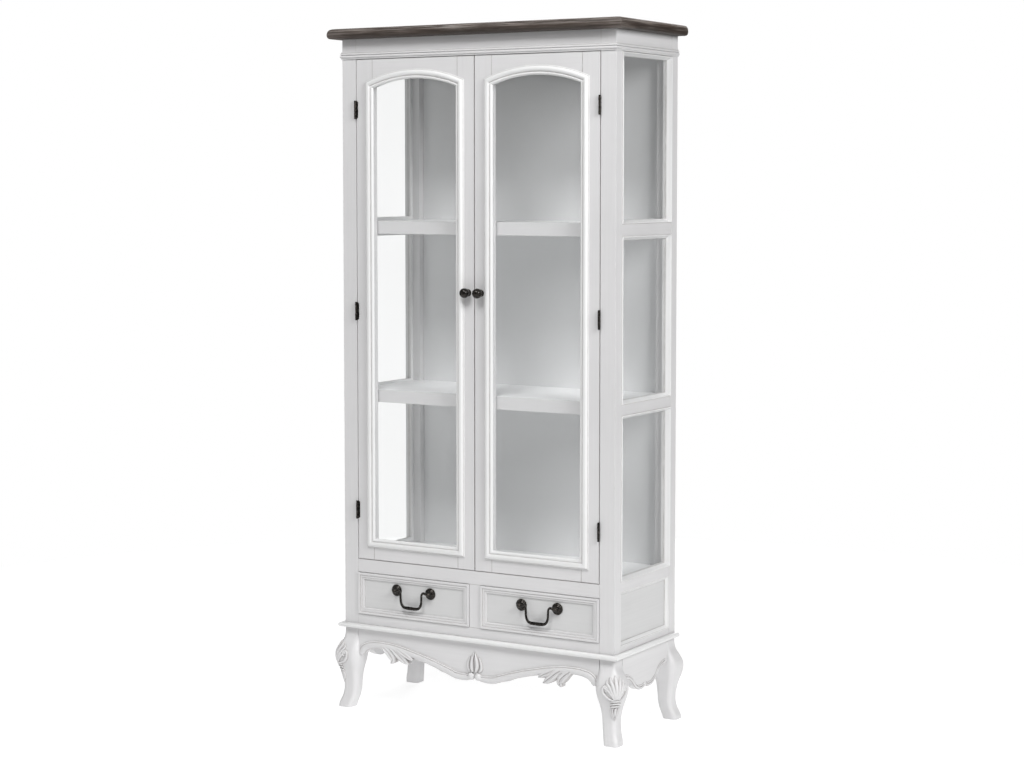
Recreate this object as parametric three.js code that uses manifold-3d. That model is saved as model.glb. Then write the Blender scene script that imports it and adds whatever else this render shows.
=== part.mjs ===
// A glazed curio cabinet on cabriole legs: two arched glass doors over two drawers, glazed
// sides, two shelves and an overhanging wooden top. Millimetres, +Z up. The front faces -Y
// and the origin is on the floor, under the middle of the whole cabinet.
import * as THREE from 'three';
import { mergeVertices } from 'three/addons/utils/BufferGeometryUtils.js';
import Module from 'manifold-3d';

const wasm = await Module();
wasm.setup();

// ---------------------------------------------------------------- driving dimensions
const WIDTH = 860; // across the outer faces of the posts
const DEPTH = 352; // front face to back face of the posts
const POST = 45; // width of each post, and the side of each leg's square top
const POST_DEEP = 34; // front to back size of each post
const KNOB_REACH = 33; // knob tip in front of the doors
const KNEE_REACH = 26; // leg knee outside its post, on both faces

const HALF = WIDTH / 2;
const INNER = HALF - POST; // half the clear width between the posts
const FRONT = (KNOB_REACH - KNEE_REACH - DEPTH) / 2; // Y of the front face
const BACK = FRONT + DEPTH; // Y of the back face
const MIDDLE = (FRONT + BACK) / 2;

const LEG = 240; // floor to underside of the carcass
const BOARD = 22; // thickness of front rails and doors
const RAIL_BELOW_TOP = 268;
const DRAWER_TOP = 387;
const DOOR_SILL = 424;
const DOOR_HEAD = 1816;
const CARCASS_TOP = 1871;
const HEIGHT = 1900;

const CORNICE_TOP = 1836;
const CORNICE_REACH = 5.5;
const BASE_MOULDING_REACH = 15;
const BASE_MOULDING_HEIGHT = 12.5;
const MOULDING_EASE = { height: 2, reach: 3 }; // step that eases the base moulding's edges
const TOP_OVERHANG = 31;
const TOP_EDGE_RADIUS = 10;

const BACK_PANEL_THICK = 6;
const BACK_RAIL_HEIGHT = 40;
const BOTTOM_BOARD_THICK = 12;
const DISPLAY_FLOOR_THICK = 20;
const BACK_PANEL_FACE = BACK - 14; // Y of the panel's inner face
const SHELF_THICK = 35;
const SHELF_TOPS = { lower: 901, upper: 1370 };
const SHELF_FRONT = FRONT + BOARD + 4;

const SIDE_THICK = 20;
const SIDE_FACE = HALF - 1; // X of the side rails' outer face
const SIDE_INSIDE = SIDE_FACE - SIDE_THICK;
const SIDE_APRON_LENGTH = DEPTH - 2 * POST;
const SIDE_PANES = [[439, 857], [907, 1326], [1379, 1804]]; // visible glass, low and high Z
const SIDE_PANEL = [267, 391];
const SIDE_PANEL_THICK = 8;
const BEAD_WIDTH = 11;
const BEAD_REACH = 3;
const REBATE = 7; // how far a pane runs behind its bead
const GLASS = 4;

const HINGE_GAP = 2; // between a door's edge and its post
const CLOSING_GAP = 1.2; // half the gap between the two doors
const DOOR_GAP = 1.5; // above and below a door
const DOOR_MARGIN = 31; // door edge to the moulding's outer edge
const DOOR_FOOT = 34; // door's lower edge to the moulding's outer edge
const ARCH_TOP = 30; // door's upper edge to the crown of the moulding
const ARCH_RADIUS = 416;
const MOULDING_WIDTH = 26;
const MOULDING_REACH = 9;
const MOULDING_LAP = 22; // width of moulding that lies on the frame
const GLASS_BEHIND = 1; // from the door's face to its glass
const KNOB_HEIGHT = 1180;
const KNOB_OFFSET = 20;

const HINGE_LENGTH = 51;
const HINGE_RADIUS = 4;
const HINGE_AXIS_Y = FRONT - HINGE_RADIUS - 0.3;
const HINGE_FROM_END = 138;
const LEAF_THICK = 1; // hinge leaf in the gap between door and post
const LEAF_DEEP = 18;

const DRAWER_GAP = 1.2;
const DIVIDER = 35;
const DRAWER_WIDTH = INNER - DIVIDER / 2 - 2 * DRAWER_GAP;
const DRAWER_CENTRE = (INNER + DIVIDER / 2) / 2;
const DRAWER_FRAME = 19; // width of the raised frame round a drawer front
const DRAWER_FACE = FRONT + 3; // Y of the recessed field
const DRAWER_BACK = FRONT + 18; // Y of the back of a drawer's front board
const DRAWER_STEP = { width: 12, reach: 4 }; // outer band of a drawer's frame
const DRAWER_LIP = 1; // inner band in front of the posts
const DRAWER_BOX_LENGTH = 288;
const DRAWER_BOX_HEIGHT = 100;
const PULL_HEIGHT = 346;
const PULL_CENTRES = 111; // between the two rosettes
const PIVOT_REACH = 14; // pull's pivot in front of the drawer's field

const FIT = 0.3; // clearance where one fixed piece is let into another
const LAP = 1; // how far joined layers of one piece run into each other

// ---------------------------------------------------------------- solids
// A geometry with merged vertices, turned so that its faces point outwards.
function closed(geometry) {
  let shell = geometry.clone();
  for (const name of Object.keys(shell.attributes)) {
    if (name !== 'position') shell.deleteAttribute(name);
  }
  shell = mergeVertices(shell, 1e-3);
  const index = Array.from(shell.index.array);
  const corner = [0, 1, 2].map(() => new THREE.Vector3());
  const faces = [];
  let volume = 0;
  for (let i = 0; i < index.length; i += 3) {
    const face = index.slice(i, i + 3);
    if (new Set(face).size < 3) continue;
    face.forEach((vertex, k) => corner[k].fromBufferAttribute(shell.attributes.position, vertex));
    volume += corner[0].dot(corner[1].clone().cross(corner[2]));
    faces.push(face);
  }
  if (volume < 0) faces.forEach((face) => face.reverse());
  shell.setIndex(faces.flat());
  return shell;
}

function toSolid(geometry) {
  const shell = closed(geometry);
  return new wasm.Manifold(new wasm.Mesh({
    numProp: 3,
    vertProperties: new Float32Array(shell.attributes.position.array),
    triVerts: new Uint32Array(shell.index.array),
  }));
}

function toGeometry(solid) {
  const mesh = solid.getMesh();
  const geometry = new THREE.BufferGeometry();
  geometry.setAttribute('position', new THREE.BufferAttribute(mesh.vertProperties, 3));
  geometry.setIndex(new THREE.BufferAttribute(mesh.triVerts, 1));
  return geometry;
}

function join(first, ...others) {
  return toGeometry(others.reduce((sum, next) => sum.add(toSolid(next)), toSolid(first)));
}

function cut(first, ...others) {
  return toGeometry(others.reduce((rest, next) => rest.subtract(toSolid(next)), toSolid(first)));
}

// A rectangular block between two limits on each axis.
function block([x0, x1], [y0, y1], [z0, z1]) {
  const geometry = new THREE.BoxGeometry(x1 - x0, y1 - y0, z1 - z0);
  return geometry.translate((x0 + x1) / 2, (y0 + y1) / 2, (z0 + z1) / 2);
}

// An outline drawn in X and Z, made into a plate whose front face is at Y = front.
function frontPlate(shape, front, thick, curveSegments = 20) {
  const geometry = new THREE.ExtrudeGeometry(shape, { depth: thick, bevelEnabled: false, curveSegments });
  return geometry.rotateX(Math.PI / 2).translate(0, front + thick, 0);
}

// An outline drawn in Y and Z, made into a plate between X = inside and X = outside.
function sidePlate(shape, inside, outside) {
  const depth = outside - inside;
  const geometry = new THREE.ExtrudeGeometry(shape, { depth, bevelEnabled: false, curveSegments: 8 });
  const [x, y, z] = [[1, 0, 0], [0, 1, 0], [0, 0, 1]].map((axis) => new THREE.Vector3(...axis));
  return geometry.applyMatrix4(new THREE.Matrix4().makeBasis(y, z, x)).translate(inside, 0, 0);
}

function mirrored(geometry, side) {
  return side < 0 ? geometry.clone().scale(-1, 1, 1) : geometry;
}

function rectangle([u0, u1], [v0, v1], inset = 0) {
  const shape = new THREE.Shape();
  shape.moveTo(u0 + inset, v0 + inset);
  shape.lineTo(u1 - inset, v0 + inset);
  shape.lineTo(u1 - inset, v1 - inset);
  shape.lineTo(u0 + inset, v1 - inset);
  shape.closePath();
  return shape;
}

function ring(outer, inner) {
  outer.holes.push(inner);
  return outer;
}

// A profile of [radius, reach] points turned round an axis that points towards the viewer.
function turnedKnob(profile) {
  const points = profile.map(([radius, reach]) => new THREE.Vector2(radius, reach));
  return new THREE.LatheGeometry(points, 20).rotateX(Math.PI);
}

// ---------------------------------------------------------------- carcass
// A straight-edged U round the front and both sides, standing `reach` out of the carcass.
function collar(reach, low, high) {
  const outline = new THREE.Shape();
  outline.moveTo(-HALF - reach, BACK);
  outline.lineTo(-HALF - reach, FRONT - reach);
  outline.lineTo(HALF + reach, FRONT - reach);
  outline.lineTo(HALF + reach, BACK);
  outline.lineTo(HALF, BACK);
  outline.lineTo(HALF, FRONT);
  outline.lineTo(-HALF, FRONT);
  outline.lineTo(-HALF, BACK);
  outline.closePath();
  const geometry = new THREE.ExtrudeGeometry(outline, { depth: high - low, bevelEnabled: false });
  return geometry.translate(0, 0, low);
}

function topBoard() {
  const reach = TOP_OVERHANG - TOP_EDGE_RADIUS;
  const outline = rectangle([-HALF - reach, HALF + reach], [FRONT - reach, BACK + TOP_OVERHANG]);
  const bevel = { bevelSize: TOP_EDGE_RADIUS, bevelThickness: TOP_EDGE_RADIUS, bevelSegments: 4 };
  const depth = HEIGHT - CARCASS_TOP - 2 * TOP_EDGE_RADIUS;
  const board = new THREE.ExtrudeGeometry(outline, { depth, ...bevel });
  board.translate(0, 0, CARCASS_TOP + TOP_EDGE_RADIUS);
  const waste = block([-WIDTH, WIDTH], [BACK, BACK + DEPTH], [CARCASS_TOP - POST, HEIGHT + POST]);
  return cut(board, waste);
}

function cornice() {
  const step = (CORNICE_TOP - DOOR_HEAD) / 4;
  const lower = collar(CORNICE_REACH / 2, DOOR_HEAD, CORNICE_TOP);
  const upper = collar(CORNICE_REACH, DOOR_HEAD + step, CORNICE_TOP - step);
  return join(lower, upper);
}

function baseMoulding() {
  const top = LEG;
  const bottom = LEG - BASE_MOULDING_HEIGHT;
  const lip = collar(BASE_MOULDING_REACH, bottom + MOULDING_EASE.height, top - MOULDING_EASE.height);
  const body = collar(BASE_MOULDING_REACH - MOULDING_EASE.reach, bottom, top);
  return join(body, lip);
}

// A board between the side frames, notched round the four posts.
function notchedBoard(low, high) {
  const between = block([-INNER + FIT, INNER - FIT], [SHELF_FRONT, BACK_PANEL_FACE - FIT], [low, high]);
  const reach = SIDE_INSIDE - FIT;
  const ears = block([-reach, reach], [FRONT + POST_DEEP + FIT, BACK - POST_DEEP - FIT], [low, high]);
  return join(between, ears);
}

// Rails and glazing beads of one glazed side, with rebates for the panes and the lower panel.
function sideFrame(side) {
  const [y0, y1] = [FRONT + POST_DEEP, BACK - POST_DEEP];
  const sides = [y0 + BEAD_WIDTH, y1 - BEAD_WIDTH];
  const outside = rectangle([y0, y1], [LEG, CARCASS_TOP]);
  const inside = rectangle([y0, y1], [LEG, CARCASS_TOP]);
  for (const opening of [...SIDE_PANES, SIDE_PANEL]) {
    outside.holes.push(rectangle(sides, opening));
    inside.holes.push(rectangle(sides, opening, -REBATE));
  }
  const rebateDepth = SIDE_THICK / 2;
  const layers = [
    sidePlate(outside, SIDE_FACE - rebateDepth, SIDE_FACE),
    sidePlate(inside, SIDE_INSIDE, SIDE_FACE - rebateDepth + LAP),
  ];
  for (const [low, high] of SIDE_PANES) {
    const edge = rectangle([y0, y1], [low - BEAD_WIDTH, high + BEAD_WIDTH]);
    const bead = ring(edge, rectangle(sides, [low, high]));
    layers.push(sidePlate(bead, SIDE_FACE - LAP, SIDE_FACE + BEAD_REACH));
  }
  return mirrored(join(...layers), side);
}

// A pane or panel in a side frame's rebate.
function sideInfill([low, high], thick, side) {
  const reach = REBATE - FIT;
  const margin = POST_DEEP + BEAD_WIDTH - reach;
  const y = [FRONT + margin, BACK - margin];
  const outside = SIDE_FACE - SIDE_THICK / 2;
  return mirrored(block([outside - thick, outside], y, [low - reach, high + reach]), side);
}

// ---------------------------------------------------------------- legs
// Each leg is a chamfered square section on an S-curve along the cabinet's diagonal.
// Stations are [depth below the carcass, outer face, inner face], both measured outwards
// from the corner of the post.
const LEG_STATIONS = [
  [0, 0, -45],
  [15, 0, -45],
  [40, 4, -44.8],
  [60, 15, -44.5],
  [79, 24, -44],
  [98, KNEE_REACH, -43],
  [118, 21, -41],
  [138, 13, -38],
  [165, 6, -35],
  [190, 5, -34],
  [210, 8.5, -32],
  [LEG, 16, -27],
];
const LEG_RINGS = 20;
const LEG_CHAMFER = 0.28; // share of the leg's half width, once it has left the post
const LEAST_CHAMFER = 0.4;

// Smooth value of one station column at a depth.
function stationValue(column, depth) {
  const last = LEG_STATIONS.length - 1;
  const next = Math.max(1, LEG_STATIONS.findIndex(([at]) => at >= depth - 1e-6));
  const at = (i) => LEG_STATIONS[Math.min(last, Math.max(0, i))];
  const [before, from, to, after] = [at(next - 2), at(next - 1), at(next), at(next + 1)];
  const slope = (a, b) => (b[0] === a[0] ? 0 : (b[column] - a[column]) / (b[0] - a[0]));
  const run = to[0] - from[0];
  const t = (depth - from[0]) / run;
  const start = slope(before, to) * run;
  const end = slope(from, after) * run;
  return from[column] * (2 * t ** 3 - 3 * t ** 2 + 1) + start * (t ** 3 - 2 * t ** 2 + t)
    + to[column] * (3 * t ** 2 - 2 * t ** 3) + end * (t ** 3 - t ** 2);
}

function leg(sideX, sideY) {
  const geometry = new THREE.CylinderGeometry(1, 1, LEG, 8, LEG_RINGS).rotateX(Math.PI / 2);
  const position = geometry.attributes.position;
  const straight = LEG_STATIONS[1][0];
  for (let i = 0; i < position.count; i += 1) {
    const [x, y, z] = [position.getX(i), position.getY(i), position.getZ(i)];
    const depth = LEG / 2 - z;
    const outer = stationValue(1, depth);
    const inner = stationValue(2, depth);
    const half = (outer - inner) / 2;
    const chamfer = half * LEG_CHAMFER * THREE.MathUtils.smoothstep(depth, straight, 3 * straight);
    const onAxis = Math.hypot(x, y) < 0.5;
    const octant = Math.round(Math.atan2(y, x) / (Math.PI / 4));
    const along = ((octant % 2) + 2) % 2 === 0;
    // Even octants carry one end of a chamfer and odd octants the other.
    const [u, v] = cornerPoint(octant, half, Math.max(chamfer, LEAST_CHAMFER), along);
    const centre = (outer + inner) / 2;
    const px = HALF + centre + (onAxis ? 0 : u);
    const py = HALF + centre + (onAxis ? 0 : v);
    const outY = py - HALF;
    position.setXYZ(i, sideX * px, sideY < 0 ? FRONT - outY : BACK + outY, LEG - depth);
  }
  return closed(geometry);
}

// The eight points of a chamfered square, one for each 45 degree step.
function cornerPoint(octant, half, chamfer, first) {
  const quarter = Math.floor(octant / 2);
  const [u, v] = first ? [half, half - chamfer] : [half - chamfer, half];
  const angle = quarter * (Math.PI / 2);
  const [c, s] = [Math.round(Math.cos(angle)), Math.round(Math.sin(angle))];
  return [c * u - s * v, s * u + c * v];
}

// ---------------------------------------------------------------- aprons
// Lower edge of each apron from its middle to one end: [distance from the middle, depth].
const FRONT_APRON_EDGE = [
  [[0, 110], [20, 118], [47, 121], [78, 113], [110, 106], [140, 93], [195, 81]],
  [[195, 81], [217, 96], [238, 86]],
  [[238, 86], [262, 97], [272, 88], [280, 66]],
  [[280, 66], [300, 63], [350, 69], [366, 84], [INNER - FIT, 84]],
];
const SIDE_APRON_EDGE = [
  [[0, 114], [16, 120], [38, 118], [60, 106], [75, 91], [98, 79], [SIDE_APRON_LENGTH / 2 - FIT, 74]],
];
const APRON_THICK = 20;

// An apron outline about the middle, from its straight top edge down to the shaped edge.
function apronOutline(edges, halfLength) {
  const points = edges.flatMap((edge) => {
    const curve = new THREE.SplineCurve(edge.map(([u, depth]) => new THREE.Vector2(u, LEG - depth)));
    return curve.getPoints(4 * (edge.length - 1)).slice(0, -1);
  });
  const [, depth] = edges.at(-1).at(-1);
  points.push(new THREE.Vector2(halfLength, LEG - depth));
  const shape = new THREE.Shape();
  shape.moveTo(-halfLength, LEG);
  for (const point of points.slice(1).reverse()) shape.lineTo(-point.x, point.y);
  for (const point of points) shape.lineTo(point.x, point.y);
  shape.lineTo(halfLength, LEG);
  shape.closePath();
  return shape;
}

function frontApron() {
  return frontPlate(apronOutline(FRONT_APRON_EDGE, INNER - FIT), FRONT, APRON_THICK);
}

function sideApron(side) {
  const outline = apronOutline(SIDE_APRON_EDGE, SIDE_APRON_LENGTH / 2 - FIT);
  return mirrored(sidePlate(outline, HALF - APRON_THICK, HALF).translate(0, MIDDLE, 0), side);
}

// ---------------------------------------------------------------- doors
const DOOR_LOW = DOOR_SILL + DOOR_GAP;
const DOOR_HIGH = DOOR_HEAD - DOOR_GAP;
const DOOR_OUTER = INNER - HINGE_GAP;
const DOOR_CENTRE = (DOOR_OUTER + CLOSING_GAP) / 2;
const DOOR_WIDTH = DOOR_OUTER - CLOSING_GAP;

// The arched line of a door's moulding, moved inwards by `inset`.
function archOutline(inset) {
  const half = DOOR_WIDTH / 2 - DOOR_MARGIN - inset;
  const radius = ARCH_RADIUS - inset;
  const centreZ = DOOR_HIGH - ARCH_TOP - ARCH_RADIUS;
  const bottom = DOOR_LOW + DOOR_FOOT + inset;
  const swing = Math.asin(half / radius);
  const shape = new THREE.Shape();
  shape.moveTo(DOOR_CENTRE - half, bottom);
  shape.lineTo(DOOR_CENTRE + half, bottom);
  shape.absarc(DOOR_CENTRE, centreZ, radius, Math.PI / 2 - swing, Math.PI / 2 + swing, false);
  shape.closePath();
  return shape;
}

function doorFrame(side) {
  const outline = rectangle([CLOSING_GAP, DOOR_OUTER], [DOOR_LOW, DOOR_HIGH]);
  return mirrored(frontPlate(ring(outline, archOutline(MOULDING_LAP)), FRONT, BOARD), side);
}

function doorMoulding(side) {
  const flatReach = 5;
  const crown = [5, 19];
  const flat = frontPlate(ring(archOutline(0), archOutline(MOULDING_WIDTH)), FRONT - flatReach, flatReach);
  const crownRing = ring(archOutline(crown[0]), archOutline(crown[1]));
  const raised = frontPlate(crownRing, FRONT - MOULDING_REACH, MOULDING_REACH - LAP);
  return mirrored(join(flat, raised), side);
}

function doorGlass(side) {
  return mirrored(frontPlate(archOutline(MOULDING_LAP + FIT), FRONT + GLASS_BEHIND, GLASS), side);
}

// A turned foot and neck, as [radius, reach], with a ball on the end.
const KNOB_FOOT = [[0, 0], [10, 0], [10, 2], [7.5, 3.4], [4.6, 4.6], [4.4, 6.2]];
const KNOB_BALL = 13.5;

function doorKnob(side) {
  const ballCentre = KNOB_REACH - KNOB_BALL;
  const [neckRadius] = KNOB_FOOT.at(-1);
  const profile = [...KNOB_FOOT];
  const arcSteps = 9;
  const startAngle = -Math.acos(neckRadius / KNOB_BALL);
  for (let i = 0; i < arcSteps; i += 1) {
    const angle = startAngle + (i / arcSteps) * (Math.PI / 2 - startAngle);
    profile.push([KNOB_BALL * Math.cos(angle), ballCentre + KNOB_BALL * Math.sin(angle)]);
  }
  profile.push([0, KNOB_REACH]);
  return turnedKnob(profile).translate(side * KNOB_OFFSET, FRONT, KNOB_HEIGHT);
}

// Barrel in front of the joint between door and post, and the leaf let into the gap.
function hinge(side, height) {
  const x = INNER - HINGE_GAP / 2;
  const low = height - HINGE_LENGTH / 2;
  const barrel = new THREE.CylinderGeometry(HINGE_RADIUS, HINGE_RADIUS, HINGE_LENGTH, 12);
  barrel.rotateX(Math.PI / 2).translate(x, HINGE_AXIS_Y, height);
  const leafLimits = [x - LEAF_THICK / 2, x + LEAF_THICK / 2];
  const leaf = block(leafLimits, [HINGE_AXIS_Y, FRONT + LEAF_DEEP], [low, low + HINGE_LENGTH]);
  return mirrored(join(barrel, leaf), side);
}

// ---------------------------------------------------------------- drawers
const DRAWER_LOW = RAIL_BELOW_TOP + DRAWER_GAP;
const DRAWER_HIGH = DRAWER_TOP - DRAWER_GAP;

function drawerFront(side) {
  const centre = side * DRAWER_CENTRE;
  const x = [centre - DRAWER_WIDTH / 2, centre + DRAWER_WIDTH / 2];
  const z = [DRAWER_LOW, DRAWER_HIGH];
  const board = frontPlate(rectangle(x, z), DRAWER_FACE, DRAWER_BACK - DRAWER_FACE);
  const layers = [[DRAWER_FRAME, DRAWER_LIP], [DRAWER_STEP.width, DRAWER_STEP.reach]];
  const bands = layers.map(([width, reach]) => {
    const band = ring(rectangle(x, z), rectangle(x, z, width));
    return frontPlate(band, FRONT - reach, DRAWER_FACE + LAP - FRONT + reach);
  });
  return join(board, ...bands);
}

// An open-topped box of thin boards behind the drawer's front.
function drawerBox(side) {
  const wall = 10;
  const base = 6;
  const runnerRoom = 8;
  const halfWidth = DRAWER_WIDTH / 2 - runnerRoom;
  const centre = side * DRAWER_CENTRE;
  const z0 = DRAWER_LOW + 1;
  const [y0, y1] = [DRAWER_BACK, DRAWER_BACK + DRAWER_BOX_LENGTH];
  const solid = block([centre - halfWidth, centre + halfWidth], [y0, y1], [z0, z0 + DRAWER_BOX_HEIGHT]);
  const hollowHalf = halfWidth - wall;
  const hollow = block(
    [centre - hollowHalf, centre + hollowHalf],
    [y0 + wall, y1 - wall],
    [z0 + base, z0 + 2 * DRAWER_BOX_HEIGHT],
  );
  return cut(solid, hollow);
}

// A stepped round plate and the post that carries one end of a pull, as [radius, reach].
const ROSETTE = [
  [0, 0], [15, 0], [15, 1.6], [12.4, 3], [8, 4.4], [5.2, 6], [4.2, 8],
  [4.2, 10], [5, 12], [5.2, 14], [4.6, 16.6], [2.8, 18.6], [0, 19.4],
];

function rosette(x) {
  return turnedKnob(ROSETTE).translate(x, DRAWER_FACE, PULL_HEIGHT);
}

// Half of the pull's wire from its pivot end to the middle of the grip: [out, down].
const PULL_LINE = [[49.6, 0], [44, -1.5], [38, -1], [34.6, 5], [34.2, 20], [32.4, 35], [26, 43], [14, 44]];
const PULL_WIRE = 2.5;
const GRIP_RADIUS = 3.6;
const GRIP_HALF = 24;

function bail(side) {
  const half = PULL_LINE.map(([out, down]) => new THREE.Vector3(out, 0, -down));
  const otherHalf = half.map((point) => point.clone().setX(-point.x)).reverse();
  const path = new THREE.CatmullRomCurve3([...half, ...otherHalf]);
  const section = new THREE.Shape().absarc(0, 0, PULL_WIRE, 0, 2 * Math.PI, false);
  const wire = new THREE.ExtrudeGeometry(section, { steps: 48, curveSegments: 4, extrudePath: path });
  const grip = new THREE.SphereGeometry(GRIP_RADIUS, 10, 8).rotateZ(Math.PI / 2);
  grip.scale(GRIP_HALF / GRIP_RADIUS, 1, 1).translate(0, 0, -PULL_LINE.at(-1)[1]);
  return join(wire, grip).translate(side * DRAWER_CENTRE, DRAWER_FACE - PIVOT_REACH, PULL_HEIGHT);
}

// ---------------------------------------------------------------- the cabinet
const WHITE_PAINT = { color: 0xe4e5e6, roughness: 0.5, metalness: 0 };
const INSIDE_PAINT = { color: 0xdcdede, roughness: 0.6, metalness: 0 };
const AGED_OAK = { color: 0x6a5f55, roughness: 0.65, metalness: 0 };
const CLEAR_GLASS = { color: 0xdfe9ea, roughness: 0.05, metalness: 0, transparent: true, opacity: 0.25 };
const DARK_BRONZE = { color: 0x2a2522, roughness: 0.45, metalness: 0.8 };

const cabinet = new THREE.Group();

function add(name, geometry, look) {
  const mesh = new THREE.Mesh(closed(geometry), new THREE.MeshStandardMaterial(look));
  mesh.name = name;
  cabinet.add(mesh);
}

const SIDES = { left: -1, right: 1 };
const ENDS = { front: -1, back: 1 };
const LEVELS = { bottom: 0, middle: 1, top: 2 };
const between = [-INNER, INNER];
const frontBoard = [FRONT, FRONT + BOARD];

add('top_board', topBoard(), AGED_OAK);
for (const [end, sideY] of Object.entries(ENDS)) {
  const y = sideY < 0 ? [FRONT, FRONT + POST_DEEP] : [BACK - POST_DEEP, BACK];
  for (const [name, sideX] of Object.entries(SIDES)) {
    add(`post_${end}_${name}`, mirrored(block([INNER, HALF], y, [LEG, CARCASS_TOP]), sideX), WHITE_PAINT);
    add(`leg_${end}_${name}`, leg(sideX, sideY), WHITE_PAINT);
  }
}
add('frieze', block(between, frontBoard, [DOOR_HEAD, CARCASS_TOP]), WHITE_PAINT);
add('cornice', cornice(), WHITE_PAINT);
add('base_moulding', baseMoulding(), WHITE_PAINT);
add('rail_above_drawers', block(between, frontBoard, [DRAWER_TOP, DOOR_SILL]), WHITE_PAINT);
add('rail_below_drawers', block(between, frontBoard, [LEG, RAIL_BELOW_TOP]), WHITE_PAINT);
add('apron_front', frontApron(), WHITE_PAINT);

const partition = [-DIVIDER / 2, DIVIDER / 2];
const boxRoom = [FRONT, BACK_PANEL_FACE - FIT];
add('drawer_divider', block(partition, boxRoom, [RAIL_BELOW_TOP, DRAWER_TOP]), WHITE_PAINT);

const inset = [-INNER + FIT, INNER - FIT];
const backPanel = [BACK_PANEL_FACE, BACK_PANEL_FACE + BACK_PANEL_THICK];
add('back_panel', block(inset, backPanel, [LEG, CARCASS_TOP - FIT]), INSIDE_PAINT);
const backRail = [LEG - BACK_RAIL_HEIGHT, LEG - FIT];
add('back_rail', block(inset, [BACK - BOARD, BACK], backRail), WHITE_PAINT);

const underBoard = [FRONT + BOARD, BACK_PANEL_FACE - FIT];
const bottomBoard = [RAIL_BELOW_TOP - BOTTOM_BOARD_THICK, RAIL_BELOW_TOP];
add('bottom_board', block(inset, underBoard, bottomBoard), INSIDE_PAINT);
add('display_floor', notchedBoard(DOOR_SILL - DISPLAY_FLOOR_THICK, DOOR_SILL), INSIDE_PAINT);
for (const [name, top] of Object.entries(SHELF_TOPS)) {
  add(`shelf_${name}`, notchedBoard(top - SHELF_THICK, top), INSIDE_PAINT);
}

for (const [name, side] of Object.entries(SIDES)) {
  add(`side_frame_${name}`, sideFrame(side), WHITE_PAINT);
  add(`side_panel_${name}`, sideInfill(SIDE_PANEL, SIDE_PANEL_THICK, side), WHITE_PAINT);
  for (const [level, index] of Object.entries(LEVELS)) {
    add(`side_glass_${level}_${name}`, sideInfill(SIDE_PANES[index], GLASS, side), CLEAR_GLASS);
  }
  add(`apron_${name}`, sideApron(side), WHITE_PAINT);

  const doorMiddle = (DOOR_LOW + DOOR_HIGH) / 2;
  const hingeHeights = [DOOR_LOW + HINGE_FROM_END, doorMiddle, DOOR_HIGH - HINGE_FROM_END];
  for (const [level, index] of Object.entries(LEVELS)) {
    add(`hinge_${level}_${name}`, hinge(side, hingeHeights[index]), DARK_BRONZE);
  }

  add(`door_frame_${name}`, doorFrame(side), WHITE_PAINT);
  add(`door_moulding_${name}`, doorMoulding(side), WHITE_PAINT);
  add(`door_glass_${name}`, doorGlass(side), CLEAR_GLASS);
  add(`door_knob_${name}`, doorKnob(side), DARK_BRONZE);

  add(`drawer_front_${name}`, drawerFront(side), WHITE_PAINT);
  add(`drawer_box_${name}`, drawerBox(side), INSIDE_PAINT);
  add(`bail_${name}`, bail(side), DARK_BRONZE);
  for (const [hand, handX] of Object.entries(SIDES)) {
    const x = side * DRAWER_CENTRE + handX * (PULL_CENTRES / 2);
    add(`rosette_${hand}_of_${name}_drawer`, rosette(x), DARK_BRONZE);
  }
}

export default cabinet;
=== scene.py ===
# Looks of the glazed curio cabinet. Metres, +Z up, the front faces -Y.
import math
import random

import bmesh
import bpy
from mathutils import Matrix, Vector


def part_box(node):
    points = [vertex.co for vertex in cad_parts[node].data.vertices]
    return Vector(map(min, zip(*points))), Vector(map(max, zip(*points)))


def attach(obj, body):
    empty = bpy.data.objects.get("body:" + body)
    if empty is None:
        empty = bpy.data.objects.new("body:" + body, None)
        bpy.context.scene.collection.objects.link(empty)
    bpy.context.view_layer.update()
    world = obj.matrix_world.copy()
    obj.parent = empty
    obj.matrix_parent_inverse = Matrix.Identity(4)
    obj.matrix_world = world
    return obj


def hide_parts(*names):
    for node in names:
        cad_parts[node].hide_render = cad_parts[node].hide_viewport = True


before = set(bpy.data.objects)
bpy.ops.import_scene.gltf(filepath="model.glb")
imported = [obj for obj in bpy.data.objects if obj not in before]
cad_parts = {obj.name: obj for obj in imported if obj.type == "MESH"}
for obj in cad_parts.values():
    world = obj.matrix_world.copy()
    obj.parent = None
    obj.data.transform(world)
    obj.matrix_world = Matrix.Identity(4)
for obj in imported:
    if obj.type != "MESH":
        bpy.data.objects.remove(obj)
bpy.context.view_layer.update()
chance = random.Random(7)

# ---- sizes from the frame
MM = 0.001
SIDES = {"left": -1, "right": 1}
ENDS = ("front", "back")
LEVELS = ("bottom", "middle", "top")


def limits(node):
    """Lowest and highest corner of a CAD node, as vectors."""
    low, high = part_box(node)
    return Vector(low), Vector(high)


post_low, post_high = limits("post_front_right")
INNER, HALF, FRONT = post_low.x, post_high.x, post_low.y
LEG_TOP = post_low.z
BACK = limits("post_back_right")[1].y
POST_DEEP = post_high.y - post_low.y
MIDDLE = (FRONT + BACK) / 2
TOP_LOW, TOP_HIGH = limits("top_board")
BARE_WEAR = 0.8  # least wear at a corner that is rubbed to the wood
EDGE = 0.6 * MM  # rounding of a painted board's edges
RUB = 2.4 * MM  # width of the rubbed band beside an edge
JOINT = {"width": 0.35 * MM, "rub": 0.9 * MM, "worn": -0.9}  # crisp, with a fine dark line: dirt in the joint, and painted shade where a side rail meets a bead
HARD_ANGLE = 32  # an edge that turns by more degrees than this is rounded
CARVED_ANGLE = 50  # in carving, an edge that turns by more degrees than this looks sharp

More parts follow.
